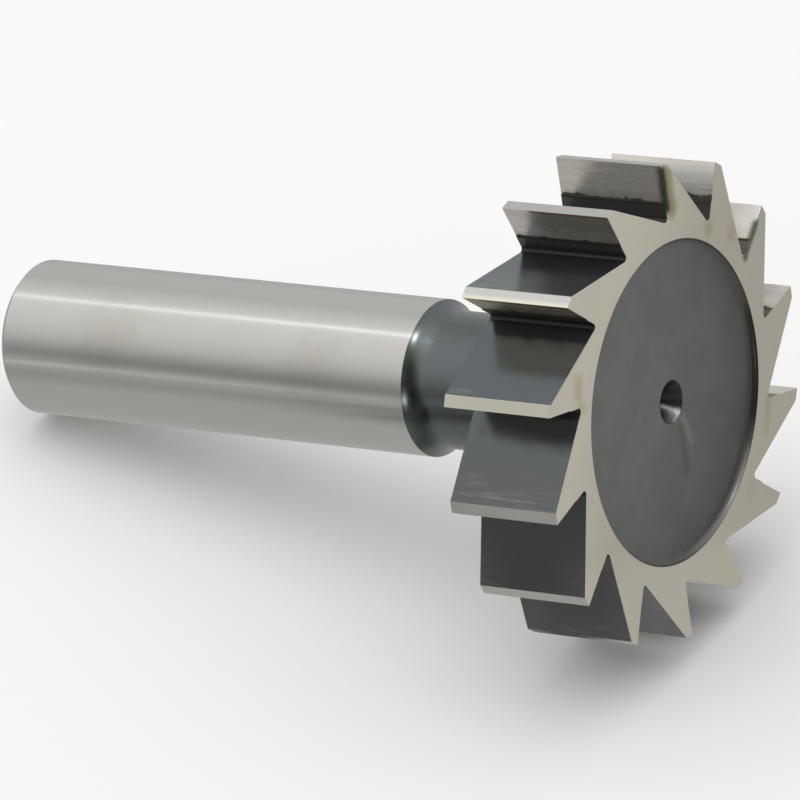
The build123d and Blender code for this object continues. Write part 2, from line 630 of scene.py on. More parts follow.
def use_group(tree, group, **values):
    """Places a group in a material, with its inputs set by name."""
    node = tree.nodes.new("ShaderNodeGroup")
    node.node_tree = group
    for name, value in values.items():
        set_value(node.inputs[name.capitalize()], value, tree)
    return node.outputs


FLOAT, VECTOR = "NodeSocketFloat", "NodeSocketVector"
print("groups take and give:", FLOAT, "and", VECTOR)

# %% [markdown]
# ## Grain
#
# A wheel or a cutter leaves fine parallel lines. They are noise that changes quickly across the
# lines and slowly along them. Which way is across differs from surface to surface, so the group
# takes it as an input: the place along the axis on the shank and the neck, the distance from the
# axis on the sides of the head, and the distance round the outline on the teeth. It gives the
# lines themselves, for a Bump node or a roughness, and a broader tone that makes a band of lines
# a little darker or lighter.


# %% The grain group
def weighted(tree, first, share, second):
    """A share of the first value, and the second for the rest."""
    rest = math_node(tree, "MULTIPLY", second, 1 - share)
    return math_node(tree, "MULTIPLY_ADD", first, share, rest)


def build_grain_group():
    tree, given, gives = new_group(
        "grain",
        [
            ("Position", VECTOR, None),
            ("Across", FLOAT, 0.0),
            ("Spacing", FLOAT, 0.2),
            ("Length", FLOAT, 20.0),
        ],
        [("Lines", FLOAT), ("Tone", FLOAT)],
    )
    x, y, z = split(tree, given["Position"])
    slanting = math_node(tree, "ADD", x, z)
    along = [math_node(tree, "DIVIDE", value, given["Length"]) for value in (slanting, y)]
    across = math_node(tree, "DIVIDE", given["Across"], given["Spacing"])
    broader = math_node(tree, "MULTIPLY", across, 0.15)
    lines = noise(tree, join(tree, *along, across), 1.0, 1.5)
    bands = noise(tree, join(tree, *along, broader), 1.0, 2.0)
    link(tree, lines, gives["Lines"])
    link(tree, weighted(tree, lines, 0.4, bands), gives["Tone"])
    return tree


grain_group = build_grain_group()
print("group:", grain_group.name)

# %% [markdown]
# ## Smudges
#
# Steel that has been handled and oiled is never even. This group mixes soft clouds of two sizes
# into one value, which the materials use to shift roughness and tone.


# %% The smudge group
def build_smudge_group():
    tree, given, gives = new_group(
        "smudges", [("Position", VECTOR, None), ("Size", FLOAT, 4.0)], [("Amount", FLOAT)]
    )
    in_sizes = vector_node(tree, "DIVIDE", given["Position"], given["Size"])
    large = noise(tree, in_sizes, 1.0, 2.0)
    small = noise(tree, in_sizes, 4.0, 2.0, 0.6)
    both = weighted(tree, small, 0.3, large)
    link(tree, smooth_range(tree, both, 0.34, 0.66), gives["Amount"])
    return tree


def smudged(tree, position, size):
    """Soft clouds about as wide as the size, in millimetres: 0 between them and 1 inside."""
    return use_group(tree, smudge_group, position=position, size=size)["Amount"]


smudge_group = build_smudge_group()
print("group:", smudge_group.name)

# %% [markdown]
# ## Marks
#
# Oil creeps out of the gullets and dries on bright steel as a yellow or brown stain, and things
# rub against the tool. One group makes all such marks: a soft stroke from a start to an end, with
# a border that a noise pulls out of shape. Where start and end are the same place, the stroke is
# a round patch.

# %% The mark group
point_size = 0.0001     # keeps the division defined where start and end are the same place


def build_mark_group():
    tree, given, gives = new_group(
        "mark",
        [(name, VECTOR, None) for name in ("Position", "Start", "End")]
        + [("Width", FLOAT, 1.0), ("Ragged", FLOAT, 1.2)],
        [("Mask", FLOAT)],
    )
    stroke = vector_node(tree, "SUBTRACT", given["End"], given["Start"])
    from_start = vector_node(tree, "SUBTRACT", given["Position"], given["Start"])
    squared = vector_node(tree, "DOT_PRODUCT", stroke, stroke, "Value")
    gone = vector_node(tree, "DOT_PRODUCT", from_start, stroke, "Value")
    share = math_node(tree, "DIVIDE", gone, math_node(tree, "ADD", squared, point_size))
    share = math_node(tree, "MINIMUM", math_node(tree, "MAXIMUM", share, 0.0), 1.0)
    apart = vector_node(tree, "DISTANCE", from_start, scaled(tree, stroke, share), "Value")
    wobble = math_node(tree, "SUBTRACT", noise(tree, given["Position"], 0.7, 3.0), 0.5)
    reach = math_node(tree, "DIVIDE", apart, given["Width"])
    reach = math_node(tree, "MULTIPLY_ADD", wobble, given["Ragged"], reach)
    link(tree, smooth_range(tree, reach, 1.0, 0.1), gives["Mask"])
    return tree


mark_group = build_mark_group()
print("group:", mark_group.name)

# %% [markdown]
# A mark is kept as its start, its end and its width. A stain is one or more marks with a colour,
# a strength and a raggedness. Most stains are laid over a material that is already finished:
# what feeds its Base Color is taken off, stained and put back.

# %% Marks and stains
materials = {}


def new_material(name):
    material = bpy.data.materials.new(name)
    material.use_nodes = True
    tree = material.node_tree
    return material, tree, tree.nodes["Principled BSDF"]


def new_finish(name):
    """A material for one finish of the tool; returns its tree, shader and place on the tool."""
    materials[name], tree, shader = new_material(name)
    return tree, shader, tool_position(tree)


def patch(centre, width):
    """A round mark."""
    return centre, centre, width


def stained(tree, position, colour, stains):
    """Mixes stains, given as (marks, tint, strength, raggedness), into a colour."""
    for marks, tint, strength, ragged in stains:
        for start, end, width in marks:
            stroke = use_group(
                tree, mark_group, position=position, start=start, end=end, width=width, ragged=ragged
            )
            cover = math_node(tree, "MULTIPLY", stroke["Mask"], strength)
            colour = mix_colour(tree, cover, colour, tint)
    return colour


def stain(name, stains):
    """Lays stains over a finished material and returns its new colour and the colour's socket."""
    tree = materials[name].node_tree
    base_colour = tree.nodes["Principled BSDF"].inputs["Base Color"]
    colour = stained(tree, tool_position(tree), base_colour.links[0].from_socket, stains)
    link(tree, colour, base_colour)
    return colour, base_colour


print("a mark:", patch(Vector((1, 2, 3)), 0.5))

# %% [markdown]
# ## Ground steel
#
# Bare steel is a metal to the shader: its colour is the colour of its reflection, and its
# roughness says how blurred that is. The grain shifts the colour a little from line to line, and
# the smudges shift the roughness.


# %% Bright finishes
def bump(tree, shader, height, depth):
    """Feeds a height through a Bump node; depth is in millimetres."""
    node = tree.nodes.new("ShaderNodeBump")
    node.inputs["Strength"].default_value = 1.0
    node.inputs["Distance"].default_value = depth / 1000
    link(tree, height, node.inputs["Height"])
    link(tree, node.outputs["Normal"], shader.inputs["Normal"])


def grain_for(tree, position, across, spacing, length):
    """The grain, across the axis of the tool or across the distance from it."""
    across = split(tree, position)[2] if across == "axis" else from_axis(tree, position)
    return use_group(tree, grain_group, position=position, across=across, spacing=spacing, length=length)


def ground_steel(name, colour, roughness, across="axis", depth=0.00015, variety=1.0):
    tree, shader, position = new_finish(name)
    grain = grain_for(tree, position, across, spacing=0.25, length=14.0)
    darker = tuple(channel * (1 - 0.06 * variety) for channel in colour)
    lighter = tuple(channel * (1 + 0.05 * variety) for channel in colour)
    link(tree, mix_colour(tree, grain["Tone"], darker, lighter), shader.inputs["Base Color"])
    shader.inputs["Metallic"].default_value = 1.0
    least, most = (roughness * (1 + change * variety) for change in (-0.08, 0.08))
    rough = smooth_range(tree, smudged(tree, position, 6.0), 0.0, 1.0, least, most)
    link(tree, rough, shader.inputs["Roughness"])
    if depth:
        bump(tree, shader, grain["Lines"], depth)
    return tree, shader, position


steel_grey = (0.59, 0.583, 0.56)
steel_warm = (0.60, 0.585, 0.505)
ground_steel("ground_land", steel_grey, 0.28, depth=0.00004)
ground_steel("turned_end", (0.42, 0.41, 0.39), 0.3, "radius")
print("bright finishes:", sorted(materials))

# %% [markdown]
# ### The sides of the head
#
# The ring that shows between the recess and the teeth is ground steel with a yellow cast. Painted
# light makes it a little lighter towards the top left and again at the bottom. Oil stains lie at
# the roots of some teeth; their places are measured from the photograph. A place on the head is
# easiest to give as a distance from the axis and an angle, from straight up round towards the
# camera's side.


# %% The ring
def on_the_face(radius, degrees_round, behind=0.0):
    """A place in the tool's frame, from its distance from the axis and its angle round it."""
    angle = radians(degrees_round)
    return Vector((radius * cos(angle), radius * sin(angle), -behind))


def towards(tree, position, degrees_round):
    """How far a point lies from the axis in one direction, in millimetres."""
    return vector_node(tree, "DOT_PRODUCT", position, on_the_face(1.0, degrees_round), "Value")


oil_brown = (0.42, 0.36, 0.22)
oil_marks = [
    patch(on_the_face(14.25, -40), 1.2),
    patch(on_the_face(15.2, -55), 1.3),
    patch(on_the_face(15.1, -88), 0.6),
    (on_the_face(14.6, -118), on_the_face(14.8, -126), 0.85),
    patch(on_the_face(14.6, -146), 1.2),
    patch(on_the_face(14.6, 64), 1.1),
]
tree, shader, position = ground_steel("ground_side", steel_warm, 0.32, "radius")
side_colour, side_socket = stain("ground_side", [(oil_marks, oil_brown, 0.8, 1.2)])
for size, cast in ((3.5, (0.63, 0.60, 0.44)), (2.2, (0.63, 0.58, 0.54))):
    cloud = math_node(tree, "MULTIPLY", smudged(tree, position, size), 0.5)
    side_colour = mix_colour(tree, cloud, side_colour, cast)
# painted light: the ring is lighter towards the top left and at the bottom
ring_painted_light_top = smooth_range(tree, towards(tree, position, 40), 0.0, 15.0, 1.0, 1.3)
ring_painted_light_bottom = smooth_range(tree, towards(tree, position, 158), 10.0, 14.0, 1.0, 1.15)
lighter = math_node(tree, "MULTIPLY", ring_painted_light_top, ring_painted_light_bottom)
link(tree, scaled(tree, side_colour, lighter), side_socket)
print("oil marks on the ring:", len(oil_marks))

# %% [markdown]
# Some marks belong to one tooth: a near-black olive line and a dark line along two cutting edges,
# with yellow oil beside them. Three lands are tinted along their whole length: one carries a cream
# painted highlight along its edge, one is warmer, and one is a little darker with painted shade.
# Tooth number 0 is one of the two that touch the bench, and the count goes clockwise, as seen
# from the front.


# %% Stained teeth
def turned_to_tooth(flat, tooth_number, behind):
    """A point of the flat tooth outline, turned to where a tooth of this number stands."""
    flat = Matrix.Rotation(first_tooth_turn - tooth_number * tooth_step, 2) @ flat
    return Vector((flat.x, flat.y, -behind))


def on_a_tooth(tooth_number, down, inwards, behind=0.0):
    """A place on a tooth: so far down its cutting face from the tip, and so far into its steel."""
    flat = tip + down_the_face * down - into_the_gullet * inwards
    return turned_to_tooth(flat, tooth_number, behind)


def along_a_tooth(tooth_number, down, inwards, first, last, width):
    """A mark that runs across the head, from one distance behind the front to another."""
    start, end = (on_a_tooth(tooth_number, down, inwards, behind) for behind in (first, last))
    return start, end, width


olive_edge = (on_a_tooth(7, 0.5, 0.12), on_a_tooth(7, 3.6, 0.12), 0.75)
dark_edge = (on_a_tooth(9, 1.6, 0.1), on_a_tooth(9, 4.6, 0.2), 0.6)
yellow_edge = (on_a_tooth(7, 1.0, 0.75), on_a_tooth(7, 4.0, 0.75), 1.2)
pale_oil = (on_the_face(15.2, 59.5), on_the_face(15.4, 56), 1.15)
stain("ground_side", [
    ([pale_oil], (0.66, 0.62, 0.42), 0.9, 0.4),
    ([yellow_edge], (0.34, 0.31, 0.14), 0.8, 0.5),
    ([olive_edge], (0.035, 0.035, 0.015), 1.0, 0.3),
    ([dark_edge], (0.12, 0.12, 0.09), 0.9, 0.5),
])
stain("ground_land", [
    # painted highlight: a cream line along the lower edge of one land
    ([along_a_tooth(5, 0.0, 0.1, 0.0, face_width, 0.4)], (0.80, 0.76, 0.62), 0.9, 0.2),
    ([along_a_tooth(4, 0.0, 0.5, 0.0, face_width, 2.5)], (0.585, 0.57, 0.48), 1.0, 0.4),
    # painted shade: this land is a little darker than the others
    ([along_a_tooth(1, 0.0, 0.5, 0.0, face_width, 2.5)], (0.56, 0.555, 0.54), 1.0, 0.4),
])
print("the olive line starts at", [round(c, 1) for c in olive_edge[0]], "mm in the tool's frame")

# %% [markdown]
# ### The shank
#
# The shank was ground while it turned, so its lines run round it. They spread a reflection far
# along the axis and hardly at all round it, so each lamp becomes one long thin line. An
# anisotropic shader does that without any bump: its tangent follows the UV map's way round, and
# a quarter turn lays the wide side of the reflection along the axis.

# %% The ground shank
tree, shader = ground_steel("ground_shank", steel_grey, 0.25, depth=0, variety=0.0)[:2]
shank_marks = [
    patch(on_the_face(shank_radius, 60, 30), 4.5),
    patch(on_the_face(shank_radius, 55, 50), 5.0),
]
stain("ground_shank", [(shank_marks, oil_brown, 0.2, 1.2)])
shader.inputs["Anisotropic"].default_value = 1.0
shader.inputs["Anisotropic Rotation"].default_value = 0.25
tangent = tree.nodes.new("ShaderNodeTangent")
tangent.direction_type = "UV_MAP"
tangent.uv_map = "grain"
link(tree, tangent.outputs[0], shader.inputs["Tangent"])
print("shank:", materials["ground_shank"].name)

# %% [markdown]
# ## Black oxide
#
# The blackening turns the surface into magnetite, a dark oxide that still mirrors its surroundings
# like a polished stone: an eighth to a fifth of the light where it is clean, and much more at a
# grazing angle. A nearly metallic shader with a very dark, slightly blue colour does the same. On
# the hollow shoulder, one side is darkened with painted shade.

# %% Black finishes
oxide_metallic = 0.88


def oxide_colour(tree, position, colour, variety):
    """A dark colour that wanders between a blue and a green cast, and the clouds it follows."""
    smudges = smudged(tree, position, 5.0)
    blue = (colour[0], colour[1] * (1 - variety), colour[2] * (1 + variety))
    green = (colour[0], colour[1] * (1 + variety), colour[2] * (1 - variety))
    return mix_colour(tree, smudges, blue, green), smudges


def black_finish(name, colour, roughness, across="radius", variety=0.05):
    tree, shader, position = new_finish(name)
    grain = grain_for(tree, position, across, spacing=0.3, length=9.0)
    toned, smudges = oxide_colour(tree, position, colour, variety)
    link(tree, toned, shader.inputs["Base Color"])
    shader.inputs["Metallic"].default_value = oxide_metallic
    rough = smooth_range(tree, smudges, 0.0, 1.0, roughness * 0.9, roughness * 1.15)
    link(tree, rough, shader.inputs["Roughness"])
    bump(tree, shader, grain["Lines"], 0.0002)


black_finish("neck_oxide", (0.130, 0.149, 0.147), 0.25, "axis")
black_finish("recess_finish", (0.182, 0.191, 0.186), 0.45, variety=0.015)
black_finish("centre_cone", (0.075, 0.07, 0.07), 0.4)
black_finish("pilot_hole", (0.05, 0.045, 0.045), 0.5)

# painted shade: a dark wedge on one side of the hollow shoulder
shoulder_painted_shade = [
    (on_the_face(5.78, 74, 20.75), on_the_face(5.66, 96, 20.35), 1.0),
    (on_the_face(5.70, 92, 20.5), on_the_face(5.85, 122, 20.85), 1.5),
]
stain("neck_oxide", [(shoulder_painted_shade, (0.04, 0.046, 0.048), 0.8, 0.4)])
print("black finishes: neck, recess, cone and pilot hole")

# %% [markdown]
# A lathe centre has been in the front hole and left a greasy stroke on the floor of the recess
# beside it. The mouth of the hole is lighter on its lower side, and two thin lines and a spot
# there are painted highlights. The floor has painted light towards the top left and painted shade
# near its border. Its wall is a thin band of painted shade, darkest on one side, with a painted
# highlight beside that.


# %% Marks and painted highlights round the centre hole
def in_the_hole(radius, degrees_round, below_the_floor):
    """A place in the centre hole, so far below the floor of the recess."""
    return on_the_face(radius, degrees_round, recess_depth + below_the_floor)


# the mouth of the hole is lighter on its lower side
lighter_lower_mouth = (in_the_hole(1.5, 205, 0.4), in_the_hole(1.55, 165, 0.3), 0.75)
# painted highlights: two thin lines along the mouth and into the cone, and a spot where they meet
painted_highlight_lines = [
    (in_the_hole(1.68, 180, 0.1), in_the_hole(1.66, 214, 0.1), 0.24),
    (in_the_hole(1.66, 216, 0.15), in_the_hole(1.0, 219, 1.3), 0.26),
]
painted_highlight_spot = patch(in_the_hole(1.62, 215, 0.2), 0.45)
stain("centre_cone", [
    ([lighter_lower_mouth], (0.19, 0.195, 0.175), 0.9, 0.3),
    (painted_highlight_lines, (0.34, 0.345, 0.335), 0.9, 0.3),
    ([painted_highlight_spot], (0.40, 0.40, 0.39), 0.9, 0.3),
])

grease_shade = (Vector((-2.6, -0.7, -recess_depth)), Vector((-6.2, -0.4, -recess_depth)), 0.85)
grease = (Vector((-2.0, -1.2, -recess_depth)), Vector((-4.5, -1.8, -recess_depth)), 0.65)
floor_colour, dish_socket = stain("recess_finish", [
    ([grease_shade], (0.125, 0.135, 0.10), 0.7, 0.5),
    ([grease], (0.27, 0.28, 0.26), 0.6, 0.5),
])
print("wear in the centre hole and beside it")

# %% The floor and the wall of the recess
dish = materials["recess_finish"].node_tree
position = tool_position(dish)
from_middle = from_axis(dish, position)
squared = math_node(dish, "MULTIPLY", from_middle, from_middle)
# painted shade towards the rim of the recess floor, and painted light towards its top left
recess_painted_shade_at_rim = math_node(dish, "MULTIPLY_ADD", squared, -0.0012, 1.06)
recess_painted_light_and_shade = math_node(dish, "MULTIPLY_ADD", towards(dish, position, 50), 0.021, recess_painted_shade_at_rim)
wall_radius = 12.8
wall_starts, wall_is_full = 12.45, 12.7
# the wall band is painted shade, darkest on one side, with a painted highlight beside it
wall_painted_shadow = (on_the_face(wall_radius, 230), on_the_face(wall_radius, 272), 3.0)
wall_painted_highlight = (on_the_face(wall_radius, -140), on_the_face(wall_radius, -176), 4.5)
wall_painted_light_and_shade = stained(dish, position, (0.125, 0.127, 0.115), [
    ([wall_painted_shadow], (0.06, 0.06, 0.052), 1.0, 0.4),
    ([wall_painted_highlight], (0.20, 0.20, 0.19), 1.0, 0.4),
])
on_the_wall = smooth_range(dish, from_middle, wall_starts, wall_is_full)
floor_colour = scaled(dish, floor_colour, recess_painted_light_and_shade)
link(dish, mix_colour(dish, on_the_wall, floor_colour, wall_painted_light_and_shade), dish_socket)
print("the recess: floor and wall")

# %% [markdown]
# ### The backs of the teeth
#
# The backs keep the whole black coat, bluer on the upper teeth; painted shade darkens three of the
# lower ones. Chips slide over them towards the gullet, so fine pale streaks run across the tooth,
# most of them near the land. The gullet itself is rougher and darkened with painted shade, and a
# painted shadow lies along one gullet.


# %% The backs and the gullets
def round_from_tip(tree):
    """The distance round a tooth's outline from its cutting tip, in millimetres."""
    node = tree.nodes.new("ShaderNodeUVMap")
    node.uv_map = "grain"
    return math_node(tree, "MULTIPLY", split(tree, node.outputs["UV"])[0], map_scale)


def on_a_back(tooth_number, share, behind):
    """A place on a tooth's back; share is 0 at the land and 1 at the gullet."""
    return turned_to_tooth(heel.lerp(to_next_tooth @ gullet_corner, share), tooth_number, behind)


slate = (0.134, 0.154, 0.166)
neutral_oxide = (0.114, 0.121, 0.120)
# painted shade: a darker colour in the gullets
gullet_painted_shade = (0.05, 0.052, 0.05)
# painted shade on the backs of three lower teeth, and a painted shadow along one gullet
lower_backs_painted_shade = [patch(on_a_back(number, 0.5, face_width / 2), 7.0) for number in (0, 1)]
lower_backs_painted_shade.append(patch(on_a_back(2, 0.1, 5.0), 5.0))
gullet_painted_shadow = (on_a_back(3, 0.75, 1.0), on_a_back(3, 0.85, 7.0), 2.6)


def scuffs(tree, smudges, distance, lines):
    """Fine pale streaks, in clouds, and fewer towards the gullet."""
    clouds = smooth_range(tree, smudges, 0.3, 0.9, 0.3, 1.0)
    near_land = smooth_range(tree, distance, 5.0, 1.0)
    streaks = smooth_range(tree, lines, 0.45, 0.75, 0.0, 0.22)
    return math_node(tree, "MULTIPLY", streaks, math_node(tree, "MULTIPLY", clouds, near_land))


def in_the_gullet(tree, distance):
    """1 in the gullet's curve, on either side of its bottom."""
    below_face = smooth_range(tree, distance, gullet_below_face + 0.2, gullet_below_face - 0.1)
    below_back = smooth_range(tree, distance, gullet_below_back - 0.3, gullet_below_back + 0.1)
    return math_node(tree, "MAXIMUM", below_face, below_back)


def back_finish():
    tree, shader, position = new_finish("black_oxide")
    distance = round_from_tip(tree)
    grain = use_group(
        tree, grain_group, position=position, across=distance, spacing=0.22, length=2.5
    )
    toned, smudges = oxide_colour(tree, position, slate, 0.02)
    lower_teeth = smooth_range(tree, split(tree, position)[0], 10.0, 2.0)
    toned = mix_colour(tree, lower_teeth, toned, neutral_oxide)
    scuffed = scuffs(tree, smudges, distance, grain["Lines"])
    toned = mix_colour(tree, scuffed, toned, (0.42, 0.43, 0.44))
    toned = stained(tree, position, toned, [
        (lower_backs_painted_shade, (0.088, 0.091, 0.090), 0.9, 0.5),
        ([gullet_painted_shadow], (0.04, 0.043, 0.042), 0.8, 0.8),
    ])
    gullet = in_the_gullet(tree, distance)
    link(tree, mix_colour(tree, gullet, toned, gullet_painted_shade), shader.inputs["Base Color"])
    shader.inputs["Metallic"].default_value = oxide_metallic
    link(tree, smooth_range(tree, gullet, 0.0, 1.0, 0.2, 0.5), shader.inputs["Roughness"])
    bump(tree, shader, grain["Lines"], 0.0003)


back_finish()
print("teeth:", materials["black_oxide"].name)

# %% [markdown]
# ### The cutting faces
#
# The wheel reached only the outer part of each cutting face. Its lines run across the tooth, some
# smoother than others, so the steel mirrors the next tooth and the room in fine streaks. Further
# in, the oxide is left, and its border is ragged, because the black was chipped off rather than
# cut. One material holds both, and the distance from the tip tells them apart. A thin brown stain
# follows the border, on one tooth the wheel reached less far, and oil has tinted some faces. The
# steel of the faces is painted lighter than the other ground steel, and two lighter warm patches
# are painted light as well.

# %% The stains of the cutting faces
face_tints_and_painted_light = [
    # brown oil tints, and two lighter warm patches on teeth 5 and 7 that are painted light
    (along_a_tooth(5, 1.2, 0.0, 1.0, 8.5, 6.0), (0.97, 0.84, 0.66)),
    (along_a_tooth(6, 1.1, 0.0, 0.0, 5.6, 3.0), (0.46, 0.39, 0.315)),
    (along_a_tooth(6, 0.1, 0.0, 0.0, 7.0, 0.3), (0.40, 0.26, 0.15)),
    (along_a_tooth(5, 0.3, 0.0, 0.0, 8.0, 0.5), (0.55, 0.36, 0.18)),
    (along_a_tooth(7, 1.6, 0.0, 0.0, 5.0, 4.0), (0.97, 0.82, 0.70)),
]
face_stains_and_painted_light = [([mark], tint, 1.0, 0.4) for mark, tint in face_tints_and_painted_light]
dull_faces = [patch(on_a_tooth(number, 1.6, 0.0, face_width / 2), 8.0) for number in (9, 10)]
face_stains_and_painted_light.append((dull_faces, (0.36, 0.355, 0.34), 0.8, 0.5))
less_ground = patch(on_a_tooth(8, 3.0, 0.0, 1.0), 8.0)
print("stains on the cutting faces:", len(face_stains_and_painted_light))


# %% The cutting face
def ragged_border(tree, position, depth_in_gullet):
    """The depth in the gullet, made uneven, so that the limit of the black is ragged."""
    wave = math_node(tree, "MULTIPLY_ADD", noise(tree, position, 0.8, 4.0, 0.6), 1.8, -0.9)
    start, end, width = less_ground
    less = use_group(tree, mark_group, position=position, start=start, end=end, width=width)
    uneven = math_node(tree, "MULTIPLY_ADD", less["Mask"], 0.4, wave)
    return math_node(tree, "ADD", depth_in_gullet, uneven)


def face_finish():
    tree, shader, position = new_finish("cutting_face")
    depth_in_gullet = math_node(tree, "MULTIPLY", round_from_tip(tree), -1.0)
    grain = use_group(
        tree, grain_group, position=position, across=depth_in_gullet, spacing=0.2, length=5.0
    )
    ragged_depth = ragged_border(tree, position, depth_in_gullet)
    chipped = smooth_range(tree, ragged_depth, ground_depth - 0.1, ground_depth + 0.06)
    past_the_wheel = smooth_range(tree, depth_in_gullet, ground_depth - 0.05, ground_depth)
    black = math_node(tree, "MAXIMUM", chipped, past_the_wheel)
    brown = smooth_range(tree, ragged_depth, ground_depth - 0.9, ground_depth + 0.1, 0.0, 0.45)

    # painted light: the face steel is lighter than the other ground steel
    steel = mix_colour(tree, grain["Tone"], (0.77, 0.735, 0.67), (0.81, 0.775, 0.71))
    steel = stained(tree, position, steel, face_stains_and_painted_light)
    steel = mix_colour(tree, brown, steel, oil_brown)
    steel = stained(tree, position, steel, [([olive_edge, dark_edge], (0.05, 0.05, 0.03), 0.9, 0.3)])
    oxide = oxide_colour(tree, position, (0.108, 0.103, 0.09), 0.03)[0]
    colour = mix_colour(tree, black, steel, oxide)
    metallic = math_node(tree, "MULTIPLY_ADD", black, oxide_metallic - 1, 1.0)
    link(tree, metallic, shader.inputs["Metallic"])

    streaks = smooth_range(tree, grain["Lines"], 0.35, 0.65, 0.25, 0.33)
    at_the_step = smooth_range(tree, depth_in_gullet, ground_depth + 0.3, ground_depth + 0.2, 0.0, 0.65)
    step = math_node(tree, "MULTIPLY", at_the_step, past_the_wheel)
    link(tree, math_node(tree, "MAXIMUM", streaks, step), shader.inputs["Roughness"])
    step_cover = math_node(tree, "MULTIPLY", step, 1.2)
    colour = mix_colour(tree, step_cover, colour, (0.045, 0.044, 0.038))
    link(tree, colour, shader.inputs["Base Color"])
    bump(tree, shader, grain["Lines"], 0.00004)


face_finish()
for name in finishes:
    cutter_mesh.materials.append(materials[name])
print("all finishes:", len(cutter_mesh.materials))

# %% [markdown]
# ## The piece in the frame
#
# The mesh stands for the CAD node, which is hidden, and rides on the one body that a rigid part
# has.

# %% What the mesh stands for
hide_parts("keyseat_cutter")
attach(cutter, "root")

# %% [markdown]
# ## The floor
#
# A plain pale floor without any gloss, so that it takes a soft shadow and no mirror image.


# %% A floor that the camera sees
def flat_square(name, half_side, height, material):
    """A level square under the tool, marked as part of the stage."""
    mesh = bpy.data.meshes.new(name)
    signs = ((-1, -1), (1, -1), (1, 1), (-1, 1))
    corners = [(half_side * x, half_side * y, height) for x, y in signs]
    mesh.from_pydata(corners, [], [(0, 1, 2, 3)])
    mesh.materials.append(material)
    square = bpy.data.objects.new(name, mesh)
    bpy.context.scene.collection.objects.link(square)
    return square


floor_material, tree, shader = new_material("pale_floor")
shader.inputs["Base Color"].default_value = (0.92, 0.92, 0.915, 1)
shader.inputs["Roughness"].default_value = 0.8
shader.inputs["Specular IOR Level"].default_value = 0.0
floor = flat_square("floor", half_side=0.6, height=0.0, material=floor_material)
print("floor:", floor.name)

# %% [markdown]
# ## What the shank mirrors
#
# Seen from one side, a polished bar shows a thin strip of each thing around it. The sum is easy
# in the tool's own frame: round the bar a direction is turned over as in a flat mirror, and
# along the bar the grain blurs it so much that any slope will do. The strips on the card and the
# three tube lamps below are placed with it, so that each draws a line on the shank where the
# photograph has one.


# %% Directions that end up in the camera
def direction_of(azimuth, elevation):
    """A direction in the CAD model's frame; azimuth is measured from +x towards +y."""
    a, e = radians(azimuth), radians(elevation)
    return Vector((cos(a) * cos(e), sin(a) * cos(e), sin(e)))


camera_azimuth = -60.616
camera_elevation = 33.937
to_camera = direction_of(camera_azimuth, camera_elevation)


def mirrored_by_shank(turn, along):
    """What the shank shows at an angle round it; along is how far it points out of the front."""
    normal = tool_x * cos(turn) + tool_y * sin(turn)
    tangent = tool_y * cos(turn) - tool_x * sin(turn)
    across = -to_camera.dot(tangent)
    return tool_z * along + tangent * across + normal * sqrt(1 - along**2 - across**2)


def mirrored_on_floor(turn, behind):
    """The place on the floor, in millimetres, that the shank shows at an angle round it."""
    start = 1000 * (tool_frame @ Vector((shank_radius * cos(turn), shank_radius * sin(turn), -behind)))
    reflected = mirrored_by_shank(turn, -to_camera.dot(tool_z))
    return start - reflected * start.z / reflected.z


print("low line, on the floor:", [round(c) for c in mirrored_on_floor(radians(80), 40)])

# %% [markdown]
# Bright metal shows its surroundings more than itself. A photographer who wants its round shape
# to read lays grey, black and white card about it, just out of the picture. Here one card on the
# floor carries all of that, and only reflections see it. No lamp lights it: it glows with its own
# tones, grey round the tool, darker far out and nearly black to the camera's right. A white strip
# draws the lower light line on the shank, inside a dull strip that softens its lower side. The
# two black patches are painted shadows of the tool on the card: one is mirrored low on the neck
# and one by a land near the bottom.


# %% A glowing card for the reflections
def strip_for_the_shank(degrees_round, width):
    """A strip on the floor that the whole shank mirrors at one angle round it."""
    turn = radians(degrees_round)
    return mirrored_on_floor(turn, shank_start), mirrored_on_floor(turn, overall_length), width


card_material, tree, shader = new_material("glowing_reflection_card")
px, py = split(tree, tree.nodes.new("ShaderNodeTexCoord").outputs["Object"])[:2]
in_mm = scaled(tree, join(tree, px, py, 0.0), 1000.0)
near_camera = smooth_range(tree, py, -0.005, -0.045)
far_out = smooth_range(tree, py, -0.075, -0.110)
to_the_right = smooth_range(tree, px, 0.0, 0.06)
camera_right = math_node(tree, "MULTIPLY", smooth_range(tree, py, -0.010, -0.045), to_the_right)
# painted shadows of the tool on the card
painted_shadows_on_card = [(Vector((2, -29, 0)), Vector((-1, -38, 0)), 14), patch(Vector((24, -10, 0)), 6)]

graded = mix_colour(tree, near_camera, (0.55, 0.55, 0.54), (0.52, 0.52, 0.51))
graded = mix_colour(tree, far_out, graded, (0.25, 0.25, 0.25))
graded = stained(tree, in_mm, graded, [
    (painted_shadows_on_card, (0.05, 0.05, 0.05), 1.0, 0.0),
    ([strip_for_the_shank(88, 8.0)], (0.43, 0.43, 0.42), 1.0, 0.0),
    ([strip_for_the_shank(79.5, 3.0)], (1.25, 1.25, 1.25), 1.0, 0.0),
])
graded = mix_colour(tree, camera_right, graded, (0.04, 0.04, 0.04))
# the card glows with these tones; no lamp lights it
link(tree, graded, shader.inputs["Emission Color"])
shader.inputs["Emission Strength"].default_value = 1.0
shader.inputs["Base Color"].default_value = (0, 0, 0, 1)
shader.inputs["Roughness"].default_value = 1.0
shader.inputs["Specular IOR Level"].default_value = 0.0
card = flat_square("glowing_reflection_card", half_side=0.59, height=0.0001, material=card_material)
card.visible_camera = False
card.visible_diffuse = False
card.visible_shadow = False
print("card:", card.name)

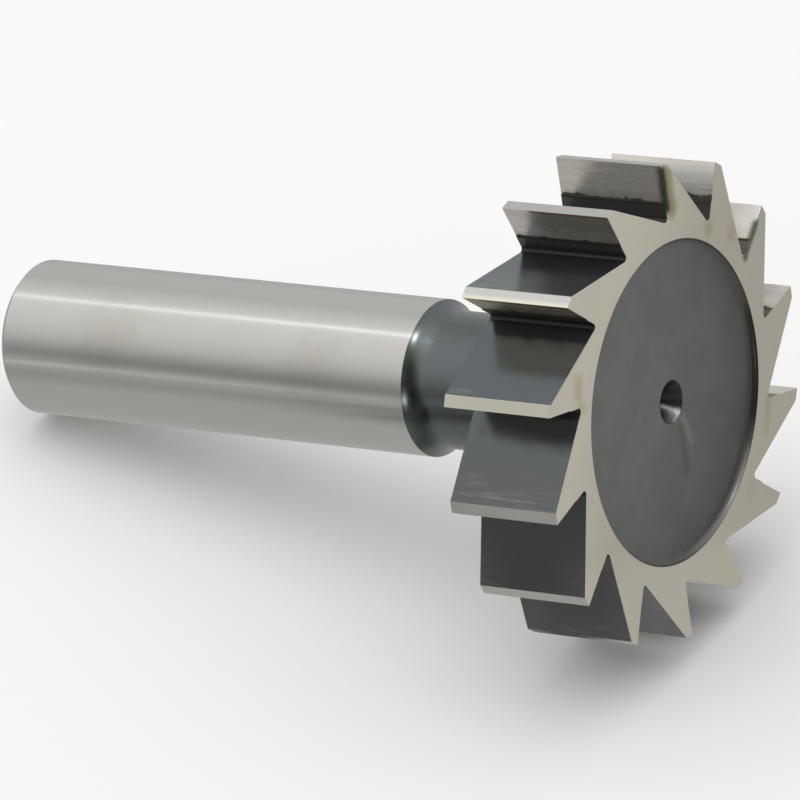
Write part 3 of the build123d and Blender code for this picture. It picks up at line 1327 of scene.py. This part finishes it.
# %% [markdown]
# ## The room and its light
#
# The room is a pale tent that is brighter overhead, with a softbox high on the camera's left and
# a low one behind the tool. The side where the camera stands is open and dark, mostly to its
# right, and a small gap low on its left is a little darker than the tent. Each of these is a soft
# round part of the sky, set by its direction, by the angles of its core and its border, and by
# how much it adds or takes away.


# %% The room
def sky_part(tree, direction, azimuth, elevation, core, border):
    """A soft round mask in the sky: 1 within the core angle and 0 beyond the border angle."""
    facing = vector_node(tree, "DOT_PRODUCT", direction, direction_of(azimuth, elevation), "Value")
    return smooth_range(tree, facing, cos(radians(border)), cos(radians(core)))


world = bpy.data.worlds.new("studio")
bpy.context.scene.world = world
world.use_nodes = True
tree = world.node_tree
background = tree.nodes["Background"]
direction = tree.nodes.new("ShaderNodeTexCoord").outputs["Generated"]
upwards = split(tree, direction)[2]
walls = smooth_range(tree, upwards, 0.0, 0.95, 0.36, 0.53)
overhead = smooth_range(tree, upwards, 0.75, 1.0, 0.0, 0.33)
sky = math_node(tree, "ADD", walls, overhead)
softboxes = ((-135, 52, 3, 65, 0.58), (95, 12, 3, 77, 0.36))
openings = ((-40, 19, 22, 67, 0.95), (-112, -4, 5, 28, 0.13))
for azimuth, elevation, core, border, gain in softboxes:
    softbox = sky_part(tree, direction, azimuth, elevation, core, border)
    sky = math_node(tree, "MULTIPLY_ADD", softbox, gain, sky)
for azimuth, elevation, core, border, depth in openings:
    opening = sky_part(tree, direction, azimuth, elevation, core, border)
    sky = math_node(tree, "MULTIPLY", sky, math_node(tree, "MULTIPLY_ADD", opening, -depth, 1.0))
link(tree, sky, background.inputs["Color"])
background.inputs["Strength"].default_value = 1.0
print("room:", world.name)

# %% [markdown]
# Five small lamps are there for the metal alone. One overhead and one low in front make the
# bright spots on the shoulder between neck and shank. Three in a row, like a tube, are placed
# where the shank mirrors them and draw the upper light line along it. A large lamp above lifts
# the floor to a clear pale tone without showing in the metal.


# %% The lamps
def far_lamp(name, direction, spread, strength):
    """A lamp that is far away; spread is the angle under which it is seen, in degrees."""
    lamp = bpy.data.lights.new(name, "SUN")
    lamp.angle = radians(spread)
    lamp.energy = strength
    lamp_object = bpy.data.objects.new(name, lamp)
    lamp_object.rotation_euler = direction.to_track_quat("Z", "Y").to_euler()
    bpy.context.scene.collection.objects.link(lamp_object)
    return lamp_object


glints = [
    far_lamp("overhead_glint", direction_of(0, 71), 2.0, 0.5),
    far_lamp("low_glint", direction_of(-50, 1), 6.0, 0.22),
]
tube_turn = radians(29.5)
for along in (-0.2, 0.0, 0.2):
    glints.append(far_lamp("tube", mirrored_by_shank(tube_turn, along), 1.5, 0.03))
for glint in glints:
    glint.visible_diffuse = False
far_lamp("floor_light", direction_of(-90, 80), 140.0, 1.0).visible_glossy = False

# %% [markdown]
# ## The camera
#
# The photograph was taken with a long lens, from the right and from above. The camera is set from
# the angles at which the drawing of the tool fits the photograph.

# %% The camera
camera_roll = -1.611
camera_distance = 0.585
aim = Vector((0.009053, -0.010707, 0.020148))
camera_data = bpy.data.cameras.new("camera")
camera_data.sensor_width = 36
camera_data.lens = 335.83
camera = bpy.data.objects.new("camera", camera_data)
camera.location = aim + to_camera * camera_distance
level = to_camera.to_track_quat("Z", "Y").to_matrix()
camera.rotation_euler = (level @ Matrix.Rotation(radians(-camera_roll), 3, "Z")).to_euler()
bpy.context.scene.collection.objects.link(camera)
bpy.context.scene.camera = camera
bpy.context.scene.view_settings.view_transform = "Standard"
print("camera at", [round(1000 * c) for c in camera.location], "mm")
